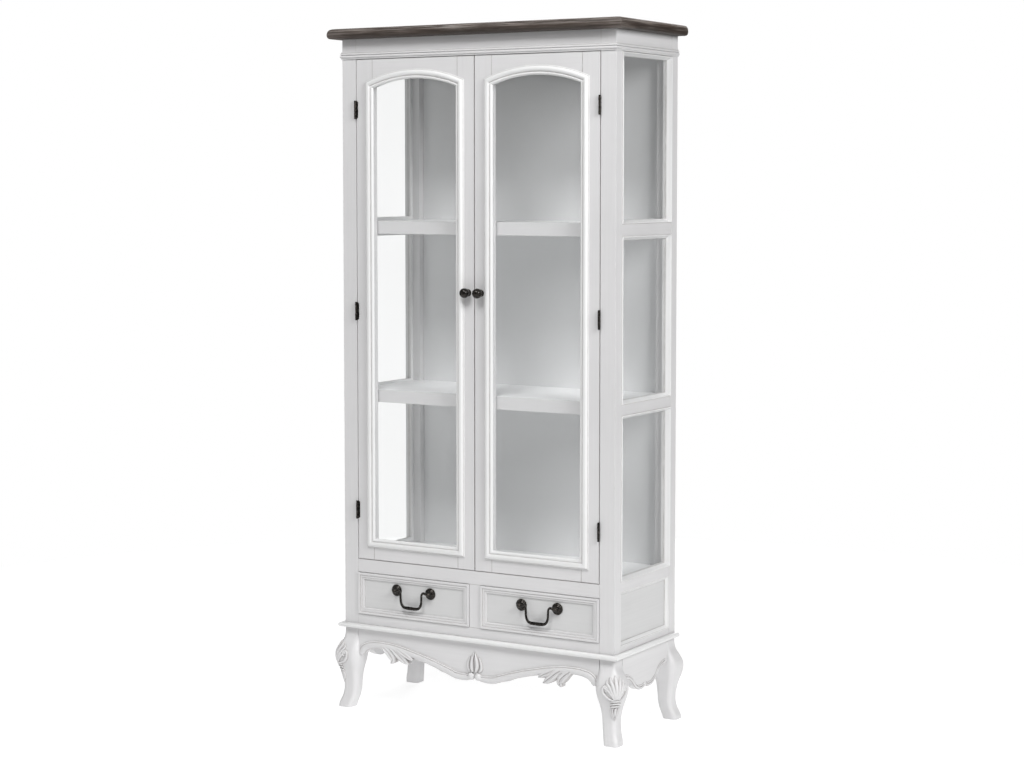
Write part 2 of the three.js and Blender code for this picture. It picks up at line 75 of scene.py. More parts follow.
# ---- camera, light and floor
CAMERA_PLACE = (3.047, -5.074, 1.473)
CAMERA_TURN = 0.5387  # about Z, towards the left
CAMERA_PITCH = -0.0726
LENS = 75.5
SHIFT_UP = -0.043

# Square soft lights that all point at the middle of the cabinet: (name, place, size, power).
LIGHTS = [("key", (0.4, -3.3, 5.1), 1.9, 160), ("side_fill", (4.4, -1.7, 3.2), 2.0, 185),
          ("left_fill", (-3.4, -2.6, 2.4), 1.8, 14), ("back_fill", (-1.5, 4.2, 2.8), 2.4, 95)]
LIGHT_TARGET = (0, 0, 1.0)
WALL_LIGHT, WALL_SEEN = 0.11, 1.0  # what the white wall gives, and how bright it looks
FLOOR_RADIUS, FLOOR_GREY, FLOOR_GLOW = 3.0, 0.3, 0.82


def studio():
    camera = bpy.data.objects.new("camera", bpy.data.cameras.new("camera"))
    camera.data.lens = LENS
    camera.data.sensor_width = 36
    camera.data.shift_y = SHIFT_UP
    camera.location = CAMERA_PLACE
    camera.rotation_euler = (math.pi / 2 + CAMERA_PITCH, 0, CAMERA_TURN)
    bpy.context.collection.objects.link(camera)
    scene = bpy.context.scene
    scene.camera = camera
    scene.view_settings.view_transform = "Standard"

    backdrop(scene)
    for light in LIGHTS:
        softbox(*light)
    floor()


def backdrop(scene):
    """A white studio wall that gives only a little light of its own."""
    world = bpy.data.worlds.new("studio")
    scene.world = world
    world.use_nodes = True
    tree = world.node_tree
    wall = tree.nodes["Background"]
    wall.inputs["Color"].default_value = (1, 1, 1, 1)
    seen = tree.nodes.new("ShaderNodeLightPath").outputs["Is Camera Ray"]
    strength = tree.nodes.new("ShaderNodeMapRange")
    strength.inputs["To Min"].default_value = WALL_LIGHT
    strength.inputs["To Max"].default_value = WALL_SEEN
    tree.links.new(seen, strength.inputs["Value"])
    tree.links.new(strength.outputs["Result"], wall.inputs["Strength"])


def softbox(name, place, size, power):
    light = bpy.data.lights.new(name, "AREA")
    light.shape = "SQUARE"
    light.size = size
    light.energy = power
    holder = bpy.data.objects.new(name, light)
    holder.location = place
    holder.rotation_euler = (Vector(LIGHT_TARGET) - Vector(place)).to_track_quat("-Z", "Y").to_euler()
    bpy.context.collection.objects.link(holder)


def floor():
    """A round pale floor that ends where it is still as bright as the wall."""
    disc = bmesh.new()
    bmesh.ops.create_circle(disc, cap_ends=True, segments=96, radius=FLOOR_RADIUS)
    mesh = bpy.data.meshes.new("floor")
    disc.to_mesh(mesh)
    disc.free()
    plane = bpy.data.objects.new("floor", mesh)
    bpy.context.collection.objects.link(plane)
    look = bpy.data.materials.new("floor")
    look.use_nodes = True
    shader = look.node_tree.nodes["Principled BSDF"]
    shader.inputs["Base Color"].default_value = (FLOOR_GREY, FLOOR_GREY, FLOOR_GREY, 1)
    shader.inputs["Roughness"].default_value = 0.9
    shader.inputs["Emission Color"].default_value = (1, 1, 1, 1)
    shader.inputs["Emission Strength"].default_value = FLOOR_GLOW
    mesh.materials.append(look)


# ---- materials
DIRT_AND_SHADE = (0.30, 0.275, 0.26)  # dark colour for the grooves of the paint: dirt, and painted shade
BARE = (0.45, 0.41, 0.38)  # wood under the rubbed paint, paler under the paler copies of the paint on the mouldings and inside, which are painted highlight and painted light
HIGHLIT_BARE, LIT_INSIDE_BARE = (0.50, 0.46, 0.43), (0.52, 0.50, 0.48)


class Look:
    """A node material with a Principled shader, built a node at a time."""

    def __init__(self, name):
        self.material = bpy.data.materials.new(name)
        self.material.use_nodes = True
        self.tree = self.material.node_tree
        self.shader = self.tree.nodes["Principled BSDF"]

    def node(self, kind, **settings):
        node = self.tree.nodes.new(kind)
        for key, value in settings.items():
            setattr(node, key, value)
        return node

    def link(self, source, target):
        self.tree.links.new(source, target)

    def noise(self, scale, stretch, detail=4.0, roughness=0.6, space="grain"):
        """Noise over the grain coordinates or over the object, stretched per axis."""
        if space == "grain":
            coordinates = self.node("ShaderNodeUVMap", uv_map="grain").outputs["UV"]
        else:
            coordinates = self.node("ShaderNodeTexCoord").outputs["Object"]
        mapping = self.node("ShaderNodeMapping")
        mapping.inputs["Scale"].default_value = stretch
        self.link(coordinates, mapping.inputs["Vector"])
        noise = self.node("ShaderNodeTexNoise")
        noise.inputs["Scale"].default_value = scale
        noise.inputs["Detail"].default_value = detail
        noise.inputs["Roughness"].default_value = roughness
        self.link(mapping.outputs["Vector"], noise.inputs["Vector"])
        return noise.outputs["Fac"]

    def ramp(self, value, low, high, out_low=0.0, out_high=1.0):
        """A smooth step of `value` between two limits."""
        step = self.node("ShaderNodeMapRange", interpolation_type="SMOOTHSTEP")
        for name, number in zip(("From Min", "From Max", "To Min", "To Max"),
                                (low, high, out_low, out_high)):
            step.inputs[name].default_value = number
        self.link(value, step.inputs["Value"])
        return step.outputs["Result"]

    def maths(self, operation, first, second):
        node = self.node("ShaderNodeMath", operation=operation)
        for socket, value in zip(node.inputs, (first, second)):
            if isinstance(value, (int, float)):
                socket.default_value = value
            else:
                self.link(value, socket)
        return node.outputs["Value"]

    def mix(self, factor, first, second):
        node = self.node("ShaderNodeMix", data_type="RGBA")
        self.link(factor, node.inputs["Factor"])
        for name, value in (("A", first), ("B", second)):
            socket = [s for s in node.inputs if s.name == name and s.type == "RGBA"][0]
            if isinstance(value, tuple):
                socket.default_value = (*value, 1)
            else:
                self.link(value, socket)
        return [s for s in node.outputs if s.type == "RGBA"][0]

    def bump(self, height, distance, strength=0.5):
        node = self.node("ShaderNodeBump")
        node.inputs["Distance"].default_value = distance
        node.inputs["Strength"].default_value = strength
        self.link(height, node.inputs["Height"])
        self.link(node.outputs["Normal"], self.shader.inputs["Normal"])

    def wear_and_painted_light(self):
        """The wear and painted light of the mesh: 1 where an edge is rubbed, and on the oak's nose a
        painted highlight; -1 where dirt and painted shade lie in a groove or under a ledge.
        """
        value = self.node("ShaderNodeAttribute", attribute_name="wear_and_painted_light").outputs["Fac"]
        rubbed = self.maths("MAXIMUM", value, 0.0)
        soiled_and_shaded = self.maths("MAXIMUM", self.maths("MULTIPLY", value, -1.0), 0.0)
        return rubbed, soiled_and_shaded


def painted(name, paint, shade, rub, rub_amount, relief):
    """Brushed satin paint with faint streaks along the grain, rubbed through at the edges, and dark with
    dirt and painted shade in the grooves.
    """
    look = Look(name)
    streaks = look.noise(1.0, (5, 150, 150), detail=4)
    cloud = look.noise(5.0, (1, 1, 1), detail=3, space="object")
    patches = look.noise(34.0, (1, 1, 1), detail=6, roughness=0.7, space="object")
    speckle = look.ramp(look.noise(1.0, (40, 300, 300), detail=2), 0.68, 0.80)
    tone = look.maths("ADD", look.ramp(streaks, 0.35, 0.75, 0, 0.5), look.ramp(cloud, 0.35, 0.7, 0, 0.5))
    coat = look.mix(tone, paint, shade)
    worn, soiled_and_shaded = look.wear_and_painted_light()
    rubbed = look.maths("MULTIPLY", worn, look.ramp(patches, 0.50, 0.72, 0.08, 1.0))
    rubbed = look.maths("MAXIMUM", rubbed, look.maths("MULTIPLY", speckle, 0.12))
    coat = look.mix(look.maths("MULTIPLY", rubbed, rub_amount), coat, rub)
    # Dirt and painted shade: grooves and the feet of beads and mouldings take the dark groove colour.
    dirt_and_shade_mask = look.maths("MULTIPLY", soiled_and_shaded, look.ramp(patches, 0.3, 0.6, 0.5, 0.8))
    look.link(look.mix(dirt_and_shade_mask, coat, DIRT_AND_SHADE), look.shader.inputs["Base Color"])
    look.link(look.ramp(streaks, 0.2, 0.8, 0.34, 0.48), look.shader.inputs["Roughness"])
    look.bump(streaks, relief * MM, 0.4)
    return look.material


def weathered_oak():
    """Grey-brown oak: dark stain in the pores, dirt and painted shade in the grooves and on the lower
    half of the nose, pale wax where the edge is worn dry, and a pale painted highlight on the upper half
    of the nose.
    """
    look = Look("aged_oak")
    fibres = look.noise(1.0, (6, 190, 190), detail=7, roughness=0.68)
    bands = look.noise(1.0, (2.2, 38, 38), detail=4)
    pores = look.ramp(look.noise(1.0, (13, 300, 300), detail=4), 0.56, 0.66)
    wax = look.ramp(look.noise(1.0, (5, 60, 60), detail=8, roughness=0.78), 0.52, 0.64)
    deep, brown, taupe = (0.014, 0.009, 0.007), (0.068, 0.046, 0.035), (0.17, 0.143, 0.126)
    wood = look.mix(look.ramp(bands, 0.3, 0.7), deep, brown)
    wood = look.mix(look.maths("MULTIPLY", look.ramp(fibres, 0.44, 0.62), 0.75), wood, taupe)
    wood = look.mix(look.maths("MULTIPLY", pores, 0.85), wood, deep)
    worn, soiled_and_shaded = look.wear_and_painted_light()
    # Pale where the wear value is high: dry worn wood, and on the upper half of the nose a painted
    # highlight.
    dry_and_highlit = look.maths("MULTIPLY", worn, look.ramp(fibres, 0.44, 0.60, 0.1, 0.95))
    wood = look.mix(look.maths("MULTIPLY", dry_and_highlit, 0.85), wood, (0.25, 0.22, 0.20))
    waxed = look.maths("MULTIPLY", wax, look.maths("ADD", dry_and_highlit, 0.12))
    wood = look.mix(waxed, wood, (0.40, 0.38, 0.36))
    # Dark where the wear value is below nought: dirt in the grooves, and painted shade on the lower half
    # of the nose.
    wood = look.mix(look.maths("MULTIPLY", soiled_and_shaded, 0.85), wood, (0.024, 0.016, 0.011))
    look.link(wood, look.shader.inputs["Base Color"])
    look.link(look.ramp(fibres, 0.3, 0.75, 0.45, 0.7), look.shader.inputs["Roughness"])
    look.bump(fibres, 1.2 * MM, 0.7)
    return look.material


def clear_glass():
    """Thin clear float glass with a breath of smears."""
    look = Look("glass")
    smear = look.noise(9.0, (1, 1, 0.4), detail=4, space="object")
    look.shader.inputs["Base Color"].default_value = (0.86, 0.90, 0.90, 1)
    look.shader.inputs["Alpha"].default_value = 0.05
    look.shader.inputs["IOR"].default_value = 1.5
    look.link(look.ramp(smear, 0.3, 0.8, 0.02, 0.08), look.shader.inputs["Roughness"])
    return look.material


def dark_bronze():
    """Oil-rubbed bronze: near black, with warm highlights where hands rub it."""
    look = Look("dark_bronze")
    mottle = look.noise(160.0, (1, 1, 1), detail=5, space="object")
    tone = look.mix(look.ramp(mottle, 0.45, 0.75, 0, 0.6), (0.006, 0.0055, 0.005), (0.02, 0.017, 0.014))
    worn = look.maths("MULTIPLY", look.wear_and_painted_light()[0], look.ramp(mottle, 0.4, 0.6, 0.2, 0.8))
    look.link(look.mix(worn, tone, (0.08, 0.068, 0.058)), look.shader.inputs["Base Color"])
    look.link(look.ramp(mottle, 0.3, 0.75, 0.2, 0.36), look.shader.inputs["Roughness"])
    look.shader.inputs["Metallic"].default_value = 0.6
    look.bump(mottle, 0.15 * MM, 0.4)
    return look.material


# name: (paint, its second tone, bare wood, how much of that shows, depth of the brush marks in mm)
PAINTS = {
    "white_paint": ((0.675, 0.67, 0.675), (0.635, 0.63, 0.635), BARE, 0.2, 0.14),
    # A darker copy of the white paint: painted shade on the recessed drawer fields and side panels.
    "shaded_field_paint": ((0.62, 0.62, 0.62), (0.585, 0.585, 0.585), BARE, 0.1, 0.1),
    # A paler copy of the white paint: painted highlight on the rounded mouldings and beads.
    "highlit_moulding_paint": ((0.77, 0.77, 0.77), (0.74, 0.74, 0.74), HIGHLIT_BARE, 0.2, 0.1),
    # A paler copy of the white paint: painted light on the back panel inside.
    "lit_back_paint": ((0.755, 0.76, 0.765), (0.725, 0.73, 0.735), LIT_INSIDE_BARE, 0.12, 0.1),
    # A paler copy still: painted light on the shelf tops, bottom board and drawer boxes.
    "inside_paint": ((0.86, 0.865, 0.87), (0.83, 0.835, 0.84), LIT_INSIDE_BARE, 0.12, 0.1),
}
LOOKS = {name: painted(name, *values) for name, values in PAINTS.items()}
LOOKS |= {"aged_oak": weathered_oak(), "glass": clear_glass(), "dark_bronze": dark_bronze()}


# ---- mesh tools
def new_mesh():
    bm = bmesh.new()
    bm.verts.layers.float.new("wear_and_painted_light")
    bm.loops.layers.uv.new("grain")
    return bm


def merge(target, part):
    """Adds one mesh's geometry to another, and frees it."""
    data = bpy.data.meshes.new("part")
    part.to_mesh(data)
    part.free()
    target.from_mesh(data)
    bpy.data.meshes.remove(data)


def lay_grain(part, axis):
    """Grain coordinates: along `axis`, then across it."""
    layer = part.loops.layers.uv["grain"]
    offset = Vector((chance.uniform(0, 9), chance.uniform(0, 9)))
    for face in part.faces:
        normal = max(range(3), key=lambda i: abs(face.normal[i]))
        across = [i for i in range(3) if i not in (axis, normal)][0]
        for loop in face.loops:
            place = loop.vert.co
            loop[layer].uv = (place[axis] + offset.x, place[across] + place[normal] + offset.y)


def soften(part, width, rub, axis, worn=1.0):
    """Rounds the hard edges and marks them as worn, or dark with dirt and painted shade, leaving the
    flats clean.
    """
    layer = part.verts.layers.float["wear_and_painted_light"]
    bmesh.ops.recalc_face_normals(part, faces=part.faces)
    hard = [edge for edge in part.edges
            if edge.is_manifold and edge.calc_face_angle() > math.radians(HARD_ANGLE)]
    bmesh.ops.bevel(part, geom=hard, offset=width, segments=2, affect="EDGES", profile=0.6,
                    clamp_overlap=True)
    for vertex in part.verts:
        vertex[layer] = worn
    wide = [face for face in part.faces
            if face.calc_area() > 3 * rub * max(edge.calc_length() for edge in face.edges)]
    bmesh.ops.inset_individual(part, faces=wide, thickness=rub)
    for face in wide:
        for vertex in face.verts:
            vertex[layer] = 0.0
    part.normal_update()
    lay_grain(part, axis)


def board(bm, low, high, axis=None, width=EDGE, rub=RUB, worn=1.0):
    """A board between two corners, with eased edges. Its grain runs along its longest side."""
    low, high = Vector(low), Vector(high)
    size = high - low
    if axis is None:
        axis = max(range(3), key=lambda i: size[i])
    part = new_mesh()
    bmesh.ops.create_cube(part, size=1.0)
    bmesh.ops.transform(part, matrix=Matrix.Diagonal((*size, 1)), verts=part.verts)
    bmesh.ops.translate(part, vec=(low + high) / 2, verts=part.verts)
    soften(part, min(width, min(size) / 3), min(rub, min(size) / 4), axis, worn)
    merge(bm, part)


def jointed(bm, low, high, axis=None):
    """A board that meets its neighbours in a joint."""
    board(bm, low, high, axis, **JOINT)


def skin(part, rings):
    """Faces between neighbouring rings of vertices, and over both ends. One vertex is a pole."""
    for a, b in zip(rings, rings[1:]):
        count = max(len(a), len(b))
        for i in range(count):
            j = (i + 1) % count
            corners = (a[i % len(a)], a[j % len(a)], b[j % len(b)], b[i % len(b)])
            part.faces.new(list(dict.fromkeys(corners)))
    for end in (rings[0], rings[-1]):
        if len(end) > 1:
            part.faces.new(end)


def ring_of(part, points, *wears):
    """Vertices at the points, with one wear for them all or one for each."""
    layer = part.verts.layers.float["wear_and_painted_light"]
    ring = [part.verts.new(point) for point in points]
    for i, vertex in enumerate(ring):
        vertex[layer] = wears[i % len(wears)]
    return ring


def slab(bm, outline, place, thick, axis, width=EDGE, rub=1.5 * MM, worn=1.0):
    """A flat outline, put in space by place(u, v, height), with eased edges."""
    part = new_mesh()
    skin(part, [ring_of(part, [place(u, v, height) for u, v in outline], 0) for height in (0, -thick)])
    soften(part, width, rub, axis, worn)
    merge(bm, part)


def arc(centre, radius, start, end, steps):
    """Points on an arc, angles in degrees, both ends included."""
    angles = [math.radians(start + (end - start) * i / steps) for i in range(steps + 1)]
    return [(centre[0] + radius * math.cos(a), centre[1] + radius * math.sin(a)) for a in angles]


def shifted(outline, inset, closed):
    """The outline moved to its left by `inset`, with mitred corners."""
    count = len(outline)
    result = []
    for i, point in enumerate(outline):
        here = Vector(point)
        before = Vector(outline[i - 1]) if closed or i else None
        after = Vector(outline[(i + 1) % count]) if closed or i < count - 1 else None
        directions = [(here - before).normalized()] if before else []
        directions += [(after - here).normalized()] if after else []
        normals = [Vector((-d.y, d.x)) for d in directions]
        normal = sum(normals, Vector((0, 0))).normalized()
        result.append(here + normal * inset / max(0.3, normal.dot(normals[0])))
    return result


def moulding(bm, outline, profile, place, closed=True, bare=()):
    """Runs a closed profile of (inset, height, wear) along a flat outline with mitred corners.
    The points of the outline listed in `bare` are worn pale."""
    part = new_mesh()
    grain = part.loops.layers.uv["grain"]
    offset = chance.uniform(0, 9)
    count = len(outline)
    rings = []
    for inset, height, worn in profile:
        spots = [place(p.x, p.y, height) for p in shifted(outline, inset, closed)]
        wears = [max(worn, BARE_WEAR) if i in bare else worn for i in range(count)]
        rings.append(ring_of(part, spots, *wears))
    lengths = running_length(outline)
    widths = running_length([(inset, height) for inset, height, _ in profile])
    for k in range(len(profile)):
        a, b = rings[k], rings[(k + 1) % len(profile)]
        for i in range(count if closed else count - 1):
            j = (i + 1) % count
            face = part.faces.new((a[i], a[j], b[j], b[i]))
            along = (lengths[i], lengths[i + 1], lengths[i + 1], lengths[i])
            over = (widths[k], widths[k], widths[k + 1], widths[k + 1])
            for loop, u, v in zip(face.loops, along, over):
                loop[grain].uv = (u + offset, v + offset)
    if not closed:
        part.faces.new([ring[0] for ring in rings])
        part.faces.new([ring[-1] for ring in reversed(rings)])
    merge(bm, part)


def running_length(points):
    """Distance along a closed line of points, at each point and back at the first."""
    result = [0.0]
    for here, there in zip(points, points[1:] + points[:1]):
        result.append(result[-1] + math.dist(here, there))
    return result


def circle(radius, segments):
    """Points of a circle, or its centre alone when the radius is nought."""
    angles = [math.tau * i / segments for i in range(segments if radius > 0 else 1)]
    return [(radius * math.cos(angle), radius * math.sin(angle)) for angle in angles]


def turned(bm, profile, place, segments=40):
    """Turns a profile of (radius, height, wear) round the axis of place(u, v, height)."""
    part = new_mesh()
    rings = [ring_of(part, [place(u, v, height) for u, v in circle(radius, segments)], worn)
             for radius, height, worn in profile]
    skin(part, rings)
    lay_grain(part, 2)
    merge(bm, part)


def rod(bm, points, radii, segments=14, worn=0.3):
    """A round rod along a path that lies in a plane of constant Y."""
    part = new_mesh()
    rings = []
    for i, (point, radius) in enumerate(zip(points, radii)):
        ahead = Vector(points[min(i + 1, len(points) - 1)]) - Vector(points[max(i - 1, 0)])
        side = ahead.normalized().cross(Vector((0, 1, 0)))
        spots = [Vector(point) + side * u + Vector((0, v, 0)) for u, v in circle(radius, segments)]
        rings.append(ring_of(part, spots, worn))
    skin(part, rings)
    lay_grain(part, 0)
    merge(bm, part)


def smooth_path(points, steps):
    """A Catmull-Rom curve through the points, as tuples of the same length."""
    ends = [points[0], *points, points[-1]]
    result = []
    for i in range(len(points) - 1):
        a, b, c, d = ends[i:i + 4]
        for k in range(steps):
            t = k / steps
            result.append(tuple(
                0.5 * (2 * q + (r - p) * t + (2 * p - 5 * q + 4 * r - s) * t * t
                       + (3 * q - p - 3 * r + s) * t ** 3)
                for p, q, r, s in zip(a, b, c, d)))
    return [*result, tuple(points[-1])]


# Sections of carved strokes: (across, height, wear), -1 where dirt and painted shade gather.
RIBBON = [(-1, 0, -1), (-0.92, 0.4, -0.6), (-0.75, 0.78, 0.1), (-0.35, 1, 0.25), (0.1, 0.97, 0.05),
          (0.44, 0.8, 0), (0.54, 0.56, -0.9), (0.66, 0.62, -0.3), (0.8, 0.66, 0.3), (0.93, 0.4, -0.4),
          (1, 0, -1)]
LEAF = [(-1, 0, -1), (-0.86, 0.5, -0.4), (-0.5, 0.86, 0.2), (-0.14, 0.88, 0), (-0.03, 0.62, -0.9),
        (0.08, 0.84, -0.3), (0.5, 1.0, 0.2), (0.86, 0.56, -0.4), (1, 0, -1)]
BEAD = [(-1, 0, -1), (-0.88, 0.45, -0.7), (-0.45, 0.9, 0.1), (0, 1, 0.2), (0.45, 0.9, 0.1),
        (0.88, 0.45, -0.7), (1, 0, -1)]


def stroke(bm, line, section, place, height, sink, steps=6, thin=0.25 * MM, fade_width=4 * MM):
    """A carved stroke: a section of (across, height, wear) along a line of (u, v, half width).
    It is `sink` deep in the wood, no narrower than `thin`, and lower where it is narrow."""
    part = new_mesh()
    grain = part.loops.layers.uv["grain"]
    path = smooth_path(line, steps)
    stations = [(-1, None, 0), *section, (1, None, 0)]
    rows = []
    for i, (u, v, half) in enumerate(path):
        before, after = path[max(i - 1, 0)], path[min(i + 1, len(path) - 1)]
        ahead = Vector((after[0] - before[0], after[1] - before[1])).normalized()
        half = max(half, thin)
        fade = min(1.0, half / fade_width) ** 0.6
        spots = [place(u - ahead.y * t * half, v + ahead.x * t * half,
                       -sink if rise is None else rise * height * fade) for t, rise, _ in stations]
        rows.append(ring_of(part, spots, *[worn for _, _, worn in stations]))
    skin(part, rows)
    for face in part.faces:
        for loop in face.loops:
            loop[grain].uv = (loop.vert.co.x, loop.vert.co.z)
    merge(bm, part)


def boss(bm, u, v, radius, height, place, segments=24, rings=8):
    """A carved ball that stands out of a surface, with dirt and painted shade round its foot."""
    part = new_mesh()
    rows = []
    for k in range(rings + 1):
        angle = math.pi / 2 * k / rings
        reach = radius * math.cos(angle) if k < rings else 0
        spots = [place(u + x, v + y, height * math.sin(angle)) for x, y in circle(reach, segments)]
        rows.append(ring_of(part, spots, (-1.0, -0.5, 0.0)[min(k, 2)]))
    skin(part, rows)
    lay_grain(part, 2)
    merge(bm, part)


def piece(name, bm, look, body, *nodes, sharp=38):
    """Turns the mesh into an object that rides on a body and stands for the CAD nodes named."""
    bmesh.ops.recalc_face_normals(bm, faces=bm.faces)
    for face in bm.faces:
        face.smooth = True
    for edge in bm.edges:
        if edge.is_manifold and edge.calc_face_angle() > math.radians(sharp):
            edge.smooth = False
    mesh = bpy.data.meshes.new(name)
    bm.to_mesh(mesh)
    bm.free()
    mesh.materials.append(LOOKS[look])
    item = bpy.data.objects.new(name, mesh)
    bpy.context.collection.objects.link(item)
    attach(item, body)
    if nodes:
        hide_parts(*nodes)


# Where a flat drawing goes: each returns a point from (u, v, height above the face).
def on_front(face):
    return lambda u, v, height: (u, face - height, v)


def on_side(side, face):
    return lambda u, v, height: (side * (face + height), u, v)


def on_level(level):
    return lambda u, v, height: (u, v, level + height)


def out_of_front(node):
    """Round the axis that comes out of the front in the middle of a round node."""
    low, high = limits(node)
    x, z = (low.x + high.x) / 2, (low.z + high.z) / 2
    return lambda u, v, height: (x + u, high.y - height, z + v)


def metres(rows):
    """Rows of (mm, mm, wear) in metres."""
    return [(a * MM, b * MM, worn) for a, b, worn in rows]


def rectangle(low, high):
    """Corners of a rectangle, anticlockwise."""
    return [(low[0], low[1]), (high[0], low[1]), (high[0], high[1]), (low[0], high[1])]


# ---- carcass
def posts():
    for end in ENDS:
        for name in SIDES:
            node = f"post_{end}_{name}"
            bm = new_mesh()
            board(bm, *limits(node))
            piece(f"{node}_painted", bm, "white_paint", "cabinet", node)


PLAIN_BOARDS = {
    "white_paint": ("frieze", "rail_above_drawers", "rail_below_drawers", "drawer_divider", "back_rail"),
    # The bottom board and back panel take paler copies of the paint: painted light inside.
    "inside_paint": ("bottom_board",),
    "lit_back_paint": ("back_panel",),
}


def plain_boards():
    for look, nodes in PLAIN_BOARDS.items():
        for node in nodes:
            bm = new_mesh()
            jointed(bm, *limits(node))
            piece(f"{node}_painted", bm, look, "cabinet", node)


LIPPING = 5 * MM  # depth of the strip along a shelf's front edge


def notched_boards():
    """Shelves and display floor: a board between the posts with ears to the side frames, and a
    strip along its front edge."""
    gap = 0.5 * MM
    half, front, back = INNER - gap, FRONT + POST_DEEP + gap, BACK - POST_DEEP - gap
    for node in ("display_floor", "shelf_lower", "shelf_upper"):
        low, high = limits(node)
        lipping = low.y + LIPPING
        bm = new_mesh()
        board(bm, (-half, low.y, low.z), (half, lipping, high.z))
        piece(f"{node}_lipping", bm, "white_paint", "cabinet")
        # The shelf's top and underside take the paler inside paint as painted light; its front strip
        # keeps the white paint.
        bm = new_mesh()
        right = [(half, front), (high.x, front), (high.x, back), (half, back), (half, high.y)]
        outline = [(-half, lipping), (half, lipping), *right, *[(-x, y) for x, y in reversed(right)]]
        slab(bm, outline, on_level(high.z), high.z - low.z, 0, width=0.3 * MM)
        piece(f"{node}_painted", bm, "inside_paint", "cabinet", node)


# The line along the left side, the front and the right side of the carcass.
COLLAR = [(-HALF, BACK), (-HALF, FRONT), (HALF, FRONT), (HALF, BACK)]


def run_collar(bm, profile, line=COLLAR, bare=()):
    """A moulding round three sides. The profile is (reach, Z, wear)."""
    profile = [(-reach, z, worn) for reach, z, worn in profile]
    moulding(bm, line, profile, on_level(0), closed=False, bare=bare)


def half_round(reach, low, high, steps=8):
    """A rounded nose between two heights, as (reach, Z, wear)."""
    middle, rise = (low + high) / 2, (high - low) / 2
    points = []
    for i in range(steps + 1):
        angle = -math.pi / 2 + math.pi * i / steps
        points.append((reach - rise + rise * math.cos(angle), middle + rise * math.sin(angle),
                       0.22 * math.cos(angle) ** 2))
    return points


def cornice():
    low, high = limits("cornice")
    z0, z1, reach = low.z, high.z, high.x - HALF
    bm = new_mesh()
    profile = [(-0.5 * MM, z0, 0.2), (0.45 * reach, z0, 0.8), (0.55 * reach, z0 + 3 * MM, 0.4)]
    profile += half_round(reach, z0 + 3.2 * MM, z0 + 10.5 * MM)
    # The groove between the beads and the edges against the carcass are darkened: dirt, and painted
    # shade.
    profile += [(0.5 * reach, z0 + 10.8 * MM, -0.9)]
    profile += half_round(0.85 * reach, z0 + 11 * MM, z0 + 16.5 * MM)
    profile += [(0.4 * reach, z0 + 16.8 * MM, -0.8), (0.32 * reach, z1, 0.3), (-0.5 * MM, z1, -0.5)]
    run_collar(bm, profile)
    piece("cornice_moulding", bm, "white_paint", "cabinet", "cornice")


def base_moulding():
    low, high = limits("base_moulding")
    reach = high.x - HALF
    bm = new_mesh()
    nose = half_round(reach, low.z, high.z, 12)
    # The feet of the half-round are darkened: a painted shadow line where it meets the carcass, and
    # dirt.
    profile = [(-0.5 * MM, low.z, -0.6), *nose, (-0.5 * MM, high.z, -0.3)]
    run_collar(bm, profile)
    # The half-round takes the paler paint: painted highlight.
    piece("base_moulding_half_round", bm, "highlit_moulding_paint", "cabinet", "base_moulding")


# Across the top board's nose: (reach, rise, wear) as shares of the overhang and of the board. The wear
# paints the lower half dark as painted shade and the upper half pale as wear and painted highlight.
TOP_NOSE = [(0.70, 0.0, -0.9), (0.84, 0.03, -0.9), (0.93, 0.10, -0.9), (0.98, 0.22, -0.8),
            (1.0, 0.36, -0.6), (0.995, 0.5, -0.2), (0.965, 0.64, 0.3), (0.91, 0.77, 0.9),
            (0.82, 0.88, 1.0), (0.66, 0.955, 0.8), (0.42, 0.99, 0.5)]
BORDER = 55 * MM  # how far the mitred edge reaches in from the carcass's faces
WORN_CORNER = 58 * MM  # from a corner to where its bare wood ends, more than the border
PLANKS = 4


def top_board():
    """Planks inside a mitred edge with a low, soft nose, flush at the back."""
    bm = new_mesh()
    reach, rise = TOP_HIGH.x - HALF, TOP_HIGH.z - TOP_LOW.z
    # The underside at the nose is darkened as painted shade.
    profile = [(-BORDER, TOP_LOW.z, 0), (0, TOP_LOW.z, -0.5)]
    profile += [(reach * u, TOP_LOW.z + rise * v, worn) for u, v, worn in TOP_NOSE]
    profile += [(0, TOP_HIGH.z, 0.3), (-BORDER + 1 * MM, TOP_HIGH.z, 0.4),
                (-BORDER, TOP_HIGH.z - 1 * MM, 0.8)]
    back_left, left, right, back_right = COLLAR
    behind, inwards = FRONT + WORN_CORNER, HALF - WORN_CORNER
    line = [back_left, (-HALF, behind), left, (-inwards, FRONT), (inwards, FRONT), right,
            (HALF, behind), back_right]
    run_collar(bm, profile, line, bare=(2, 5))
    y0 = FRONT + BORDER
    width = (BACK - y0) / PLANKS
    for i in range(PLANKS):
        low = (-HALF + BORDER, y0 + i * width, TOP_LOW.z)
        high = (HALF - BORDER, y0 + (i + 1) * width, TOP_HIGH.z)
        board(bm, low, high, width=0.8 * MM)
    piece("top_board_oak", bm, "aged_oak", "cabinet", "top_board")


